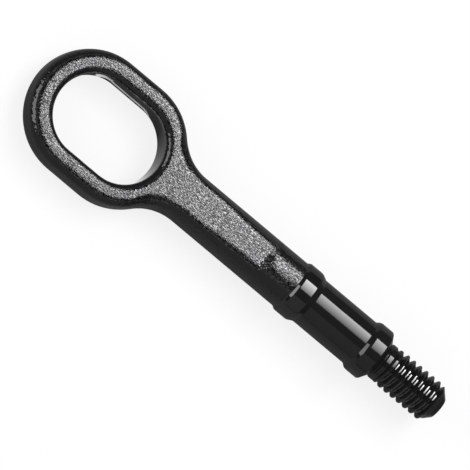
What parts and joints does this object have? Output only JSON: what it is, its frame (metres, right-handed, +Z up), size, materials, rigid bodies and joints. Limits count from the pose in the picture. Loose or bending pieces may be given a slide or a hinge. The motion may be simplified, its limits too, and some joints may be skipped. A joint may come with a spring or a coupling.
{
  "type": "tow eye",
  "caption": "Screw-in towing eye for a car: forged oval eye on a shank with flats, a turned stem with guide collars and a coarse left-hand thread.",
  "frame": {"origin": "on the screw axis at the shoulder where the thread starts", "axes": "+X along the screw axis to the thread's tip, the eye in the XY plane, +Z up through the eye's hole"},
  "size_m": [0.2179, 0.0552, 0.0242],
  "materials": {
    "black_coat": "satin black dip coat, grained on the forged eye and shank, smooth on the turned stem"
  },
  "bodies": {
    "root": {"tow_eye": "black_coat"}
  },
  "joints": []
}
